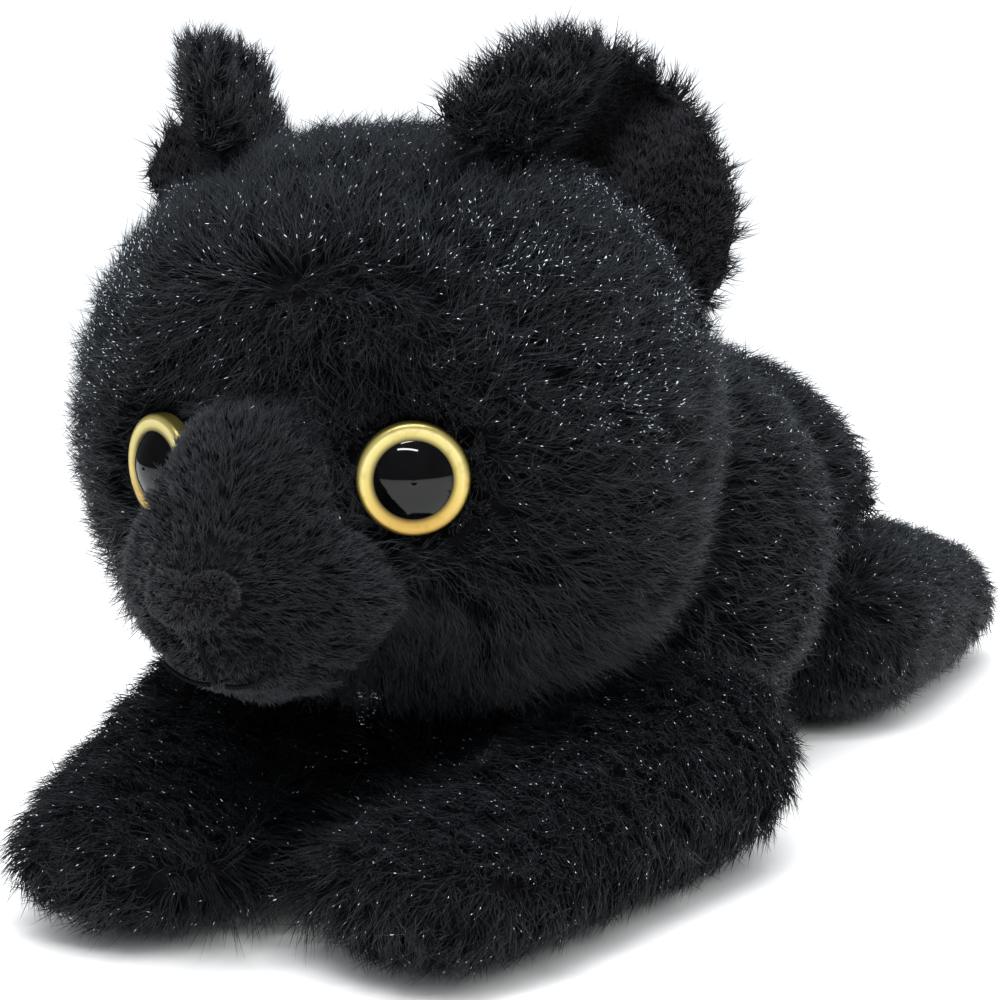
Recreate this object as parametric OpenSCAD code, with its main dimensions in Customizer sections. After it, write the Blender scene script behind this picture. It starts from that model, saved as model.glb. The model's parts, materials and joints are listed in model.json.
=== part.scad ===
// Stuffed toy cat lying on its belly with its forelegs stretched forward and its
// hind legs stretched back. The cat faces -Y, up is +Z and its left side is +X.
// It rests on Z = 0, with the origin under the middle of its length and width.

/* [Head] */
// Half width of the head over the pile
head_a = 67; // [60:0.5:70]
// Half depth of the head over the pile, front to back
head_b = 57.5; // [52:0.5:60]
// Height of the crown above the head's centre
head_c = 60; // [56:0.5:64]
// Depth of the jaw line below the head's centre
jaw_c = 55; // [50:0.5:56]
// Height of the head's centre above the ground
head_z = 95; // [95:0.5:98]
// Turn of the face towards the cat's left, degrees
head_yaw = 8; // [0:1:12]
// Thickness of the long pile fabric, backing and pile
pile_t = 6; // [4:0.5:8]

/* [Eyes] */
// Outer diameter of the gold eye rim
eye_d = 20; // [16:0.5:22]
// Diameter of the black dome inside the rim
pupil_d = 13.7; // [11:0.1:15]
// Angle of each eye from the middle of the face, degrees
eye_angle = 24; // [20:0.5:28]
// Outer diameter of the locking washer on the eye's shank
washer_d = 17; // [14:0.5:18]

/* [Muzzle] */
// Half width of the muzzle at its pads
muzzle_a = 29; // [26:0.5:30]
// Reach of the muzzle in front of its own centre
muzzle_b = 29; // [26:0.5:31]
// Depth of the chin below the muzzle's centre
muzzle_c = 25.4; // [23:0.2:27]
// Height of the bridge of the nose above the muzzle's centre
bridge_c = 34; // [26:0.5:35]
// Thickness of the short pile fabric
short_t = 4; // [3:0.5:5]

/* [Ears] */
// Height of the ear above the head
ear_h = 24; // [18:0.5:28]
// Depth of the ear's cup
ear_cup = 11; // [8:0.5:15]

/* [Body] */
// Radius of the rib cage
rib_r = 58; // [54:0.5:60]
// Radius of the rump
rump_r = 53; // [50:0.5:54]
// Thickness of the flat belly panel
belly_t = 5; // [3:0.5:6]

/* [Legs] */
// Radius of the shoulder end of a foreleg
shoulder_r = 24; // [21:0.5:24]
// Length of a foreleg from the shoulder's centre to the tip of the paw
foreleg_len = 92; // [84:1:94]
// Height of the fore paw
paw_h = 33; // [31:0.5:36]
// Half width of the fore paw
paw_a = 29; // [25:0.5:30]
// Angle of the forelegs inwards from straight ahead, degrees
foreleg_toe = 18; // [12:1:18]
// Radius of the thigh
thigh_r = 27; // [25:0.5:28]
// Distance from the hip to the end of the hind foot
hindleg_len = 90; // [78:1:92]
// Height of the hind foot
foot_h = 35; // [30:0.5:37]

/* [Tail] */
// Length of the tail outside the body
tail_len = 74; // [50:1:76]
// Radius of the tail at its root
tail_r = 9; // [7:0.5:9.5]

/* [Hidden] */

fur_black = [0.035, 0.04, 0.045];
short_black = [0.05, 0.045, 0.05];
lining_black = [0.06, 0.05, 0.055];
fibre_white = [0.9, 0.9, 0.88];
eye_gold = [0.85, 0.68, 0.35];
dome_black = [0.01, 0.01, 0.012];

gap = 0.3;                  // clearance between a cover and its stuffing
joint_gap = 0.6;            // clearance between bodies that move on each other
head_at = [0, -89, head_z];
muzzle_at = [-2, -49, -21];
neck_at = [0, -54, 55];
neck_r = 12;
rib_at = [0, -4, 53];
rump_at = [0, 46, 46];
chest_at = [0, -55, 24];
chest_r = 25;
brisket_at = [0, -83, 16];
brisket_r = 15.5;
shoulder_x = 51;
left_shoulder_y = -63;
right_shoulder_y = -73;
hip_at = [39, 49, thigh_r];
hindleg_turn = 3;           // turn of the hind legs outwards, degrees
tail_at = [0, 96, 22];
big = 400;

// ---- surfaces ---------------------------------------------------------------

// Unit normal of surface f at (u, v); f runs so that it points outwards.
function normal(f, u, v) =
    let (e = 0.02, du = f(u + e, v) - f(u - e, v), dv = f(u, v + e) - f(u, v - e),
         n = cross(du, dv))
    n / norm(n);
function raised(f, u, v, h) = f(u, v) + h * normal(f, u, v);

// Closed sheet that follows surface f over u = [from, to] and v = [from, to] in n cells.
// It lies between heights t[0] and t[1] over the surface. pole says which ends of v
// close to a point: "none", "low", "high" or "both".
module sheet(f, u, v, n, t, pole = "none") {
    low = pole == "low" || pole == "both";
    high = pole == "high" || pole == "both";
    wrap = u[1] - u[0] == 360;
    nu = n[0];
    nv = n[1];
    row = nu + 1;
    inset = 0.02 * (v[1] - v[0]);
    points = [for (s = [0, 1], j = [0:nv], i = [0:nu])
        let (uu = u[0] + (u[1] - u[0]) * i / nu, vv = v[0] + (v[1] - v[0]) * j / nv,
             vn = min(max(vv, v[0] + (low ? inset : 0)), v[1] - (high ? inset : 0)))
        f(uu, vv) + t[s] * normal(f, uu, vn)];
    at = function (s, i, j) s * row * (nv + 1) + j * row
        + ((low && j == 0) || (high && j == nv) ? 0 : wrap ? i % nu : i);
    skins = [for (j = [0:nv - 1], i = [0:nu - 1])
        let (a = at(1, i, j), b = at(1, i + 1, j), c = at(1, i + 1, j + 1), d = at(1, i, j + 1),
             e = at(0, i, j), g = at(0, i + 1, j), h = at(0, i + 1, j + 1), k = at(0, i, j + 1))
        each concat(a == b ? [] : [[a, c, b], [e, g, h]],
                    c == d ? [] : [[a, d, c], [e, h, k]])];
    u_walls = wrap ? [] : [for (j = [0:nv - 1])
        let (a = at(1, 0, j), b = at(1, 0, j + 1), c = at(0, 0, j + 1), d = at(0, 0, j),
             e = at(1, nu, j), g = at(1, nu, j + 1), h = at(0, nu, j + 1), k = at(0, nu, j))
        each [[a, d, c], [a, c, b], [e, h, k], [e, g, h]]];
    low_wall = low ? [] : [for (i = [0:nu - 1])
        let (a = at(1, i, 0), b = at(1, i + 1, 0), c = at(0, i + 1, 0), d = at(0, i, 0))
        each [[a, b, c], [a, c, d]]];
    high_wall = high ? [] : [for (i = [0:nu - 1])
        let (a = at(1, i, nv), b = at(1, i + 1, nv), c = at(0, i + 1, nv), d = at(0, i, nv))
        each [[a, c, b], [a, d, c]]];
    polyhedron(points, concat(skins, u_walls, low_wall, high_wall));
}

// Solid inside surface f, which wraps once over u, from v[0] to v[1], moved by height h.
// Flat fans close both ends.
module fill(f, v, n, h) {
    nu = n[0];
    nv = n[1];
    ring = function (j) [for (i = [0:nu - 1])
        raised(f, 360 * i / nu, v[0] + (v[1] - v[0]) * j / nv, h)];
    middle = function (r) [for (k = [0:2]) [for (p = r) p[k]] * [for (p = r) 1] / nu];
    points = concat([for (j = [0:nv]) each ring(j)], [middle(ring(0)), middle(ring(nv))]);
    first = nu * (nv + 1);
    sides = [for (j = [0:nv - 1], i = [0:nu - 1])
        let (k = (i + 1) % nu, a = j * nu + i, b = j * nu + k, c = b + nu, d = a + nu)
        each [[a, c, b], [a, d, c]]];
    ends = [for (i = [0:nu - 1]) let (k = (i + 1) % nu)
        each [[first, i, k], [first + 1, nv * nu + k, nv * nu + i]]];
    polyhedron(points, concat(sides, ends));
}

// Round cord of radius r through the points p, with m sides.
module strand(p, r, m = 6) {
    last = len(p) - 1;
    ring = function (i)
        let (t = p[min(i + 1, last)] - p[max(i - 1, 0)], w = t / norm(t),
             s = cross(w, abs(w[1]) < 0.9 ? [0, 1, 0] : [1, 0, 0]), a = s / norm(s), b = cross(w, a))
        [for (k = [0:m - 1]) p[i] + r * (cos(360 * k / m) * a + sin(360 * k / m) * b)];
    sides = [for (j = [0:last - 1], i = [0:m - 1])
        let (k = (i + 1) % m, a = j * m + i, b = j * m + k, c = b + m, d = a + m)
        each [[a, c, b], [a, d, c]]];
    polyhedron([for (i = [0:last]) each ring(i)],
        concat(sides, [[for (i = [0:m - 1]) i]], [[for (i = [m - 1:-1:0]) last * m + i]]));
}

// Mirrors its children to the cat's other side when side is -1.
module on_side(side) {
    if (side > 0) children();
    else mirror([1, 0, 0]) children();
}

// Keeps the part of its children on one side of a plane across axis k at height h.
module keep(axis, from = -big, to = big) {
    size = [for (k = [0:2]) k == axis ? to - from : 2 * big];
    start = [for (k = [0:2]) k == axis ? from : -big];
    intersection() {
        children();
        translate(start) cube(size);
    }
}

// ---- head -------------------------------------------------------------------

module head_place() {
    translate(head_at) rotate([0, 0, head_yaw]) children();
}

// Head surface. u runs from the face (0) under the jaw (90) to the nape (180) and over
// the crown (270); v runs from the right cheek (-90) to the left cheek (90).
cheek_swell = 0.06;
head_power = 2.15;
head_f = function (u, v)
    let (d = [sin(v), -cos(v) * cos(u), -cos(v) * sin(u)],
         c = d[2] > 0 ? head_c : jaw_c,
         s = pow(abs(d[0] / head_a), head_power) + pow(abs(d[1] / head_b), head_power)
             + pow(abs(d[2] / c), head_power),
         cheek = max(0, [abs(d[0]), -d[1], -d[2]] * [0.75, 0.2, 0.63]))
    d * pow(s, -1 / head_power) * (1 + cheek_swell * pow(cheek, 8));

mid_v = 28;                 // edge of the panels along the middle of the head
brow_u = -17;               // top edge of the muzzle opening
jaw_u = 56;                 // bottom edge of the muzzle opening
temple_u = -84;             // seam from the ear down the temple
nape_u = 170;               // seam between throat and crown panels

// Place of an eye: its seat is below the tips of the pile.
eye_seat = 0.9;
module eye_place(side) {
    on_side(side)
        translate([sin(eye_angle) * head_a, -cos(eye_angle) * head_b, -4.5] * eye_seat)
        rotate([90, 0, eye_angle + 2]) children();
}

// Hollow that an eye needs in the fabric and in the stuffing.
shank_r = 2.4;
shank_len = 13;
rim_t = 3;
washer_z = -9;
washer_t = 1.2;
module eye_hollow(side) {
    eye_place(side) {
        translate([0, 0, -0.4]) cylinder(r = eye_d / 2 + gap, h = 20, $fn = 48);
        translate([0, 0, -shank_len - 1]) cylinder(r = shank_r + gap, h = shank_len + 2, $fn = 32);
        translate([0, 0, washer_z - washer_t / 2 - gap])
            cylinder(r = washer_d / 2 + gap, h = washer_t + 2 * gap, $fn = 48);
    }
}

// Ball socket that leaves room for the neck, in the head's or the body's own frame.
module neck_socket() {
    translate(neck_at) sphere(r = neck_r + joint_gap, $fn = 64);
}
module head_part() {
    difference() {
        head_place() children();
        neck_socket();
    }
}

module crown_gusset() {
    color(fur_black) head_place()
        sheet(head_f, [nape_u - 360, brow_u], [-mid_v, mid_v], [16, 5], [-pile_t, 0]);
}
module face_panel(side) {
    color(fur_black) head_place() difference() {
        on_side(side)
            sheet(head_f, [temple_u, -temple_u], [mid_v, 90], [14, 6], [-pile_t, 0], "high");
        eye_hollow(side);
    }
}
module back_head_panel(side) {
    color(fur_black) head_place() on_side(side)
        sheet(head_f, [-temple_u, 360 + temple_u], [mid_v, 90], [16, 6], [-pile_t, 0], "high");
}
module throat_panel() {
    color(fur_black) head_part()
        sheet(head_f, [jaw_u, nape_u], [-mid_v, mid_v], [10, 5], [-pile_t, 0]);
}
module head_stuffing() {
    color(fibre_white) head_part() difference() {
        keep(1, from = -48.5) fill(head_f, [-84, 84], [22, 12], -pile_t - gap);
        for (side = [-1, 1]) eye_hollow(side);
    }
}

// Muzzle surface about its own centre. u runs around the muzzle from the right pad (0)
// over the bridge (90); v runs from the nose (0) to the edge against the face (90).
bridge_waist = 0.12;
muzzle_f = function (u, v)
    muzzle_at + [-muzzle_a * (1 - bridge_waist * max(0, sin(u))) * sin(v) * cos(u),
                 -muzzle_b * cos(v), (u % 360 < 180 && u > 0 ? bridge_c : muzzle_c) * sin(v) * sin(u)];
nose_v = 6;
module muzzle_piece(from, to, cells) {
    color(short_black) head_place() difference() {
        sheet(muzzle_f, [from, to], [nose_v, 88], [cells, 6], [-short_t, 0]);
        for (side = [-1, 1]) eye_hollow(side);
    }
}
module muzzle_bridge() {
    muzzle_piece(48, 132, 8);
}
module left_muzzle_pad() {
    muzzle_piece(132, 230, 8);
}
module right_muzzle_pad() {
    muzzle_piece(-50, 48, 8);
}
module chin_panel() {
    muzzle_piece(230, 310, 7);
}
module muzzle_stuffing() {
    color(fibre_white) head_place() difference() {
        keep(1, to = -49.2) fill(muzzle_f, [nose_v, 90], [18, 6], -short_t - gap);
        for (side = [-1, 1]) eye_hollow(side);
    }
}
// Nose patch: a low rounded triangle, point down, that covers the muzzle's middle.
nose_f = function (u, v) muzzle_f(u, v * (1 + 0.14 * cos(3 * u - 90)) * (1 - 0.45 * pow(sin(u), 2)));
module nose_patch() {
    color(short_black) head_place()
        sheet(nose_f, [0, 360], [0, 16], [24, 4], [gap, 3], "low");
}
// Mouth: a line down from the nose that splits into two shallow curves.
thread_r = 0.45;
module mouth_stitch() {
    on_pad = function (u, v) raised(muzzle_f, u, v, thread_r + 0.1);
    color(short_black) head_place() {
        strand([for (v = [13:3:37]) on_pad(270, v)], thread_r);
        for (s = [-1, 1])
            strand([for (k = [0:5]) on_pad(270 + s * (5 + 6 * k), 39 - 0.3 * k * k + 1.2 * k)], thread_r);
    }
}

// Eye: a gold ring, and a black dome with the shank that the washer locks behind the fabric.
module eye_rim(side) {
    color(eye_gold) head_place() eye_place(side) rotate_extrude($fn = 64)
        translate([pupil_d / 2 + 0.05, 0]) {
            square([eye_d / 2 - pupil_d / 2 - 1.05, rim_t]);
            square([eye_d / 2 - pupil_d / 2 - 0.05, rim_t - 1]);
            translate([eye_d / 2 - pupil_d / 2 - 1.05, rim_t - 1]) circle(r = 1, $fn = 24);
        }
}
module eye_dome(side) {
    dome_h = 2.6;
    dome_r = (pow(pupil_d / 2, 2) + dome_h * dome_h) / (2 * dome_h);
    color(dome_black) head_place() eye_place(side) {
        cylinder(d = pupil_d, h = rim_t, $fn = 64);
        translate([0, 0, -shank_len]) cylinder(r = shank_r, h = shank_len + 1, $fn = 32);
        translate([0, 0, rim_t]) intersection() {
            cylinder(d = pupil_d, h = dome_h + 1, $fn = 64);
            translate([0, 0, dome_h - dome_r]) sphere(r = dome_r, $fn = 96);
        }
    }
}
module eye_washer(side) {
    color(fibre_white) head_place() eye_place(side)
        translate([0, 0, washer_z - washer_t / 2]) difference() {
            cylinder(d = washer_d, h = washer_t, $fn = 48);
            translate([0, 0, -1]) cylinder(r = shank_r + 0.05, h = washer_t + 2, $fn = 32);
        }
}

// ---- ears -------------------------------------------------------------------

// Ear surface of the left ear. u runs along the base from the crown (-1) to the cheek (1),
// v from the base (0) to the rim (1). The cup opens forwards.
ear_mid_v = 41;             // middle of the ear's base on the head
ear_span_v = 21;            // reach of the base to either side of its middle
ear_u = 268;                // place of the middle of the base between nape and brow
ear_turn = 19;              // turn of the base over the head, its inner end forwards
ear_face = 38;              // direction that the cup opens to, degrees outwards from ahead
ear_clear = 3.6;            // lift of the ear's base off the head, for its fold
ear_f = function (u, v)
    let (side_v = ear_mid_v + ear_span_v * u,
         base_u = ear_u - ear_turn * u,
         foot = head_f(base_u, side_v) + ear_clear * normal(head_f, base_u, side_v),
         rise = 4 + (ear_h - 4) * pow(max(0, 1 - pow(abs(u), 1.9)), 0.8),
         up = [0.12 + 0.3 * u, 0, 0.95],
         cup = ear_cup * (0.55 - u * u) * (0.45 + 0.55 * v))
    foot + cup * [-sin(ear_face), cos(ear_face), 0] + rise * v * up;

module ear_layer(side, from, to, rgb) {
    color(rgb) head_place() on_side(side)
        sheet(ear_f, [-1, 1], [0, 1], [14, 6], [from, to]);
}
module ear_back(side) {
    ear_layer(side, -4.5, 0, fur_black);
}
module ear_lining(side) {
    ear_layer(side, gap, gap + 3, lining_black);
}

// ---- neck and body ----------------------------------------------------------

module neck_stuffing() {
    color(fibre_white) translate(neck_at) sphere(r = neck_r, $fn = 64);
}

// Room that the head sweeps as it turns and nods.
module head_sweep() {
    translate(head_at + [0, 2, 0]) scale([head_a + 8, head_b + 9, jaw_c + 7]) sphere(r = 1, $fn = 64);
}
// Back and chest shapes, shrunk by t.
module back_form(t) {
    translate(rib_at) sphere(r = rib_r - t, $fn = 96);
    translate(rump_at) sphere(r = rump_r - t, $fn = 96);
}
module chest_form(t) {
    translate(chest_at) sphere(r = chest_r - t, $fn = 64);
    translate(brisket_at) sphere(r = brisket_r - t, $fn = 64);
}
// Room for the left hind leg: a ball at the hip that runs on backwards.
module hindleg_hollow() {
    translate(hip_at) {
        sphere(r = thigh_r + joint_gap, $fn = 64);
        rotate([-90, 0, 0]) cylinder(r = thigh_r + joint_gap, h = hindleg_len, $fn = 64);
    }
}
// Hollows in the body for the head, neck, thighs and tail.
module body_hollows() {
    head_sweep();
    neck_socket();
    for (side = [-1, 1]) on_side(side) hindleg_hollow();
    translate(tail_at) sphere(r = tail_r + 1.5 + joint_gap, $fn = 48);
}
// Half of the shell around its children, standing on the belly panel.
module body_shell(side) {
    color(fur_black) on_side(side) difference() {
        keep(0, from = 0) keep(2, from = belly_t + gap) children();
        back_form(pile_t);
        chest_form(pile_t);
        body_hollows();
    }
}
module body_panel(side) {
    body_shell(side) back_form(0);
}
module chest_panel(side) {
    body_shell(side) difference() {
        chest_form(0);
        translate(rib_at) sphere(r = rib_r, $fn = 96);
    }
}
bag_at = [0, 17, 34];
bag_r = 16;
module body_stuffing() {
    color(fibre_white) difference() {
        keep(2, from = belly_t + gap) union() {
            back_form(pile_t + gap);
            chest_form(pile_t + gap);
        }
        body_hollows();
        translate(bag_at) sphere(r = bag_r + gap, $fn = 64);
    }
}
module pellet_bag() {
    color([0.7, 0.7, 0.66]) translate(bag_at) sphere(r = bag_r, $fn = 64);
}
// Flat belly, inside the line where the body panels meet it.
module belly_panel() {
    foot = function (r, z) sqrt(r * r - (z - belly_t) * (z - belly_t)) - 1;
    rib_foot = foot(rib_r, rib_at[2]);
    rump_foot = foot(rump_r, rump_at[2]);
    chest_foot = foot(chest_r, chest_at[2]);
    brisket_foot = foot(brisket_r, brisket_at[2]);
    color(fur_black) difference() {
        linear_extrude(height = belly_t) union() {
            translate([0, rib_at[1]]) circle(r = rib_foot, $fn = 64);
            translate([0, rump_at[1]]) circle(r = rump_foot, $fn = 64);
            translate([0, chest_at[1]]) circle(r = chest_foot, $fn = 64);
            translate([0, brisket_at[1]]) circle(r = brisket_foot, $fn = 64);
            polygon([[-rib_foot, rib_at[1]], [-chest_foot, chest_at[1]], [-brisket_foot, brisket_at[1]],
                     [brisket_foot, brisket_at[1]], [chest_foot, chest_at[1]],
                     [rib_foot, rib_at[1]], [rump_foot, rump_at[1]], [-rump_foot, rump_at[1]]]);
        }
        for (side = [-1, 1]) on_side(side) hindleg_hollow();
        translate([0, seam_y, 0]) cube([4.6, stitch_pitch * (stitches + 1), 3], center = true);
    }
}
// Closing seam: a row of short hand stitches in a crease along the middle of the belly.
seam_y = 24;
stitch_pitch = 7;
stitches = 7;
module closing_seam() {
    color(short_black) for (k = [0:stitches - 1])
        translate([0, seam_y + stitch_pitch * (k - (stitches - 1) / 2), 0.8]) rotate([90, 0, 24])
            cylinder(r = 0.5, h = 4.5, center = true, $fn = 16);
}

// ---- limbs ------------------------------------------------------------------

// Limb surface about its joint: a round root of radius r that flows along -Y into a
// flatter end of half width w and height h. u runs around the limb, v from the root (-90)
// over the joint (0) to the tip (90). early is how soon it flattens, and press flattens
// its inner upper side.
function limb_f(r, len, w, h, early = 1, press = 0) = function (u, v)
    let (s = sin(v), t = smooth(s * early),
         end = v < 0 ? cos(v) : pow(max(0, 1 - pow(s, 9)), 0.42),
         half = mix(r, w, t) * end,
         rise = mix(r, h / 2, t) * end * (1 - press * max(0, -cos(u)) * max(0, sin(u))))
    [half * cos(u), v < 0 ? -r * s : -len * s, mix(0, h / 2 - r, t) + rise * sin(u)];
function mix(a, b, t) = a + (b - a) * t;
function smooth(t) = let (k = min(1, max(0, t))) k * k * (3 - 2 * k);

foreleg_f = limb_f(shoulder_r, foreleg_len, paw_a, paw_h, 1.3, 0.7);
hindleg_f = limb_f(thigh_r, hindleg_len, 19.5, foot_h);

module foreleg_place(side) {
    on_side(side) translate([shoulder_x, side > 0 ? left_shoulder_y : right_shoulder_y, shoulder_r])
        rotate([0, 0, -foreleg_toe]) children();
}
module hindleg_place(side) {
    on_side(side) translate(hip_at) rotate([0, 0, 180 - hindleg_turn]) children();
}
module limb_panel(f, outer) {
    color(fur_black)
        sheet(f, outer ? [-90, 90] : [90, 270], [-90, 90], [9, 14], [-pile_t, 0], "both");
}
module limb_stuffing(f) {
    color(fibre_white) fill(f, [-84, 84], [16, 12], -pile_t - gap);
}
module foreleg_panel(side, outer) {
    foreleg_place(side) limb_panel(foreleg_f, outer);
}
module hindleg_panel(side, outer) {
    hindleg_place(side) limb_panel(hindleg_f, !outer);
}
module foreleg_stuffing(side) {
    foreleg_place(side) limb_stuffing(foreleg_f);
}
module hindleg_stuffing(side) {
    hindleg_place(side) limb_stuffing(hindleg_f);
}

// ---- tail -------------------------------------------------------------------

// Tail surface: it drops from the rump to the ground and lies back in a shallow curve.
tail_path = function (t) [-14 * t * t, tail_len * t, (tail_r + 0.5 - tail_at[2]) * smooth(t * 1.8)];
tail_f = function (u, v)
    let (s = (sin(v) + 1) / 2, p = tail_path(s), r = mix(tail_r, tail_r * 0.72, s) * pow(cos(v), 0.5))
    tail_at + p + [-r * cos(u), 0, r * sin(u)] + [0, -0.01, 0];
module tail_cover() {
    color(fur_black) difference() {
        fill(tail_f, [-84, 84], [16, 14], 0);
        fill(tail_f, [-80, 80], [12, 12], -3.5);
    }
}
module tail_stuffing() {
    color(fibre_white) fill(tail_f, [-78, 78], [12, 12], -3.8);
}

crown_gusset();
face_panel(1);  // left_face_panel
face_panel(-1);  // right_face_panel
back_head_panel(1);  // left_back_head_panel
back_head_panel(-1);  // right_back_head_panel
throat_panel();
muzzle_bridge();
left_muzzle_pad();
right_muzzle_pad();
chin_panel();
nose_patch();
mouth_stitch();
head_stuffing();
muzzle_stuffing();
eye_rim(1);  // left_eye_rim
eye_dome(1);  // left_eye_dome
eye_washer(1);  // left_eye_washer
eye_rim(-1);  // right_eye_rim
eye_dome(-1);  // right_eye_dome
eye_washer(-1);  // right_eye_washer
ear_back(1);  // left_ear_back
ear_lining(1);  // left_ear_lining
ear_back(-1);  // right_ear_back
ear_lining(-1);  // right_ear_lining
neck_stuffing();
body_panel(1);  // left_body_panel
body_panel(-1);  // right_body_panel
chest_panel(1);  // left_chest_panel
chest_panel(-1);  // right_chest_panel
belly_panel();
body_stuffing();
pellet_bag();
closing_seam();
foreleg_panel(1, true);  // left_foreleg_outer
foreleg_panel(1, false);  // left_foreleg_inner
foreleg_stuffing(1);  // left_foreleg_stuffing
foreleg_panel(-1, true);  // right_foreleg_outer
foreleg_panel(-1, false);  // right_foreleg_inner
foreleg_stuffing(-1);  // right_foreleg_stuffing
hindleg_panel(1, true);  // left_hindleg_outer
hindleg_panel(1, false);  // left_hindleg_inner
hindleg_stuffing(1);  // left_hindleg_stuffing
hindleg_panel(-1, true);  // right_hindleg_outer
hindleg_panel(-1, false);  // right_hindleg_inner
hindleg_stuffing(-1);  // right_hindleg_stuffing
tail_cover();
tail_stuffing();
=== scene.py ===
"""Plush cat: padded backings, pile made of real strands, plastic eyes, studio and camera.

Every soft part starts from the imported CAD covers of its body, so it sits where the CAD says.
A backing is the covers' outer shape drawn in by the pile's height, and the pile stands on it
as closed tapered strands, in one piece for each fabric panel. Lengths are in metres.
"""

import json
import math

import bmesh
import bpy
import numpy as np
from mathutils import Matrix, Vector
from mathutils.bvhtree import BVHTree


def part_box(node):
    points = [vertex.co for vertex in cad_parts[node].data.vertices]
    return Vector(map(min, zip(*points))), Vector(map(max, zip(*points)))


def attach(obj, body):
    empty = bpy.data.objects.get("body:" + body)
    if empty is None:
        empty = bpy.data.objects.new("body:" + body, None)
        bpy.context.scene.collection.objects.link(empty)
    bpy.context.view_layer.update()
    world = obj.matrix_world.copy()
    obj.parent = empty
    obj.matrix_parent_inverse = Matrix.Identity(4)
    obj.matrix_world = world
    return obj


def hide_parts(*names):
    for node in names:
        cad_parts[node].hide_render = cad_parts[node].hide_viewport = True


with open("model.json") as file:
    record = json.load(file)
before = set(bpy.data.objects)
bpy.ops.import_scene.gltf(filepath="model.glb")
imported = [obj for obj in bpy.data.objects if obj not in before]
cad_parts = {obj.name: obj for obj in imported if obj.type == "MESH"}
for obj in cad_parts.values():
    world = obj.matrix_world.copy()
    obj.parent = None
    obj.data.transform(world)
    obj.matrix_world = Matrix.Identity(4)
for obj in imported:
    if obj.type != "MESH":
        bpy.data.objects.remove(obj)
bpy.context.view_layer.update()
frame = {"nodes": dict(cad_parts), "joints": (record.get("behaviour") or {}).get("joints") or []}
joints = {joint["name"]: joint for joint in frame["joints"]}
scene = bpy.context.scene
rng = np.random.default_rng(20)

MM = 0.001
UP = np.array([0.0, 0.0, 1.0])
BLACK, WHITE = (0, 0, 0), (1, 1, 1)

SIDES = ("left", "right")
FACE = ["crown_gusset", "left_face_panel", "right_face_panel", "left_back_head_panel",
        "right_back_head_panel", "throat_panel"]
MUZZLE = ["muzzle_bridge", "left_muzzle_pad", "right_muzzle_pad", "chin_panel"]
TRUNK = ["left_body_panel", "right_body_panel", "left_chest_panel", "right_chest_panel",
         "belly_panel"]
STITCHED = ["nose_patch", "mouth_stitch"]

# Height of each pile over its backing.
PILE_INSET = 5.4 * MM       # on the head and the body
LEG_INSET = 3.6 * MM
TAIL_INSET = 1.6 * MM
EAR_INSET = 2.3 * MM
MUZZLE_INSET = 1.8 * MM
NOSE_INSET = 0.7 * MM

# The backings.
CLOTH_FRAMES = 14           # length of the cloth run that blows one up
SWELL = 1.5 * MM            # how far it is blown up between its seams
MOST_SWELL = 1.6 * SWELL    # the furthest any point of it may move
BACKING_LOW = 0.4 * MM      # least height over the floor

# The strands. Each has its tone across the map and runs along it from root to tip.
TONE_STEP = 0.005           # from one of its three edges to the next, across the map
GLINT_FROM = 0.95           # strands whose tone is above this carry a painted glint
GLINT_BAND = (0.66, 0.67, 0.7, 0.71)        # where the painted glint fades in and out along it
ROOT_AT, BEND_AT, TIP_AT = 0.02, 0.5, 0.98
CORNERS = 7                 # three at the root, three at the bend, and the tip
BEND_WIDTH = 0.85           # of the width at the root
ROOT_DEPTH = 0.4 * MM       # how deep a root sits in the backing
STRAND_LOW = 0.15 * MM      # least height over the floor
LOWER_LIMIT = 84            # the furthest the lower half leans from upright, in degrees
UPPER_LIMIT = 88            # the same for the upper half
LEAST_SHARE = 0.05          # strands shorter than this share of their pile are left out
EYE_CLEAR = 9.6 * MM        # radius in front of an eye that no strand enters

# Rows of what a trim function changes about a pile, each relative to the pile's own.
# SPARKS sets how many strands carry a painted glint; the last row is painted shade and light on
# their colour.
LENGTH, LEAN, SPARKS, PAINTED_SHADE = range(4)

# Feature size and seed of each noise field.
WIDE_SWIRLS = (14 * MM, 3)
SMALL_SWIRLS = (4.5 * MM, 5)
LUMPS = (9 * MM, 7)
LOCKS = (3.6 * MM, 17)
GLINT_PATCHES = (34 * MM, 11)
FLAP_EDGE = (9 * MM, 13)

# Where the inner end of an ear is folded over, how far the ear leans outwards, and how far
# its outer end goes outwards and down, as in the photograph.
FLAP_FROM = 13 * MM
EAR_LEAN = {"left": 4 * MM, "right": 0}
EAR_END_OUT = {"left": 3.5 * MM, "right": -8 * MM}
EAR_END_DOWN = {"left": 9 * MM, "right": 5 * MM}


# ---- small helpers -------------------------------------------------------------------------

def unit(vectors):
    """Vectors scaled to length 1."""
    return vectors / np.maximum(np.linalg.norm(vectors, axis=-1, keepdims=True), 1e-9)


def dot(a, b):
    """Dot product of each pair of rows, as a column."""
    return (a * b).sum(-1, keepdims=True)


def ease(x, low, high):
    """Runs smoothly from 0 at low to 1 at high."""
    t = np.clip((x - low) / (high - low), 0, 1)
    return t * t * (3 - 2 * t)


def waves(points, size, seed):
    """Smooth noise between about -1 and 1, one vector per point, with features of this size."""
    draw = np.random.default_rng(seed)
    total = np.zeros_like(points)
    for _ in range(6):
        across = unit(draw.normal(size=(3, 3))) * 2 * math.pi / size * draw.uniform(0.6, 1.3)
        total += np.sin(points @ across + draw.uniform(0, 2 * math.pi, 3))
    return total / 3


def middle(*nodes):
    """Middle of the box around these CAD nodes."""
    corners = [np.array(corner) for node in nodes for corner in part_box(node)]
    return (np.min(corners, axis=0) + np.max(corners, axis=0)) / 2


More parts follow.
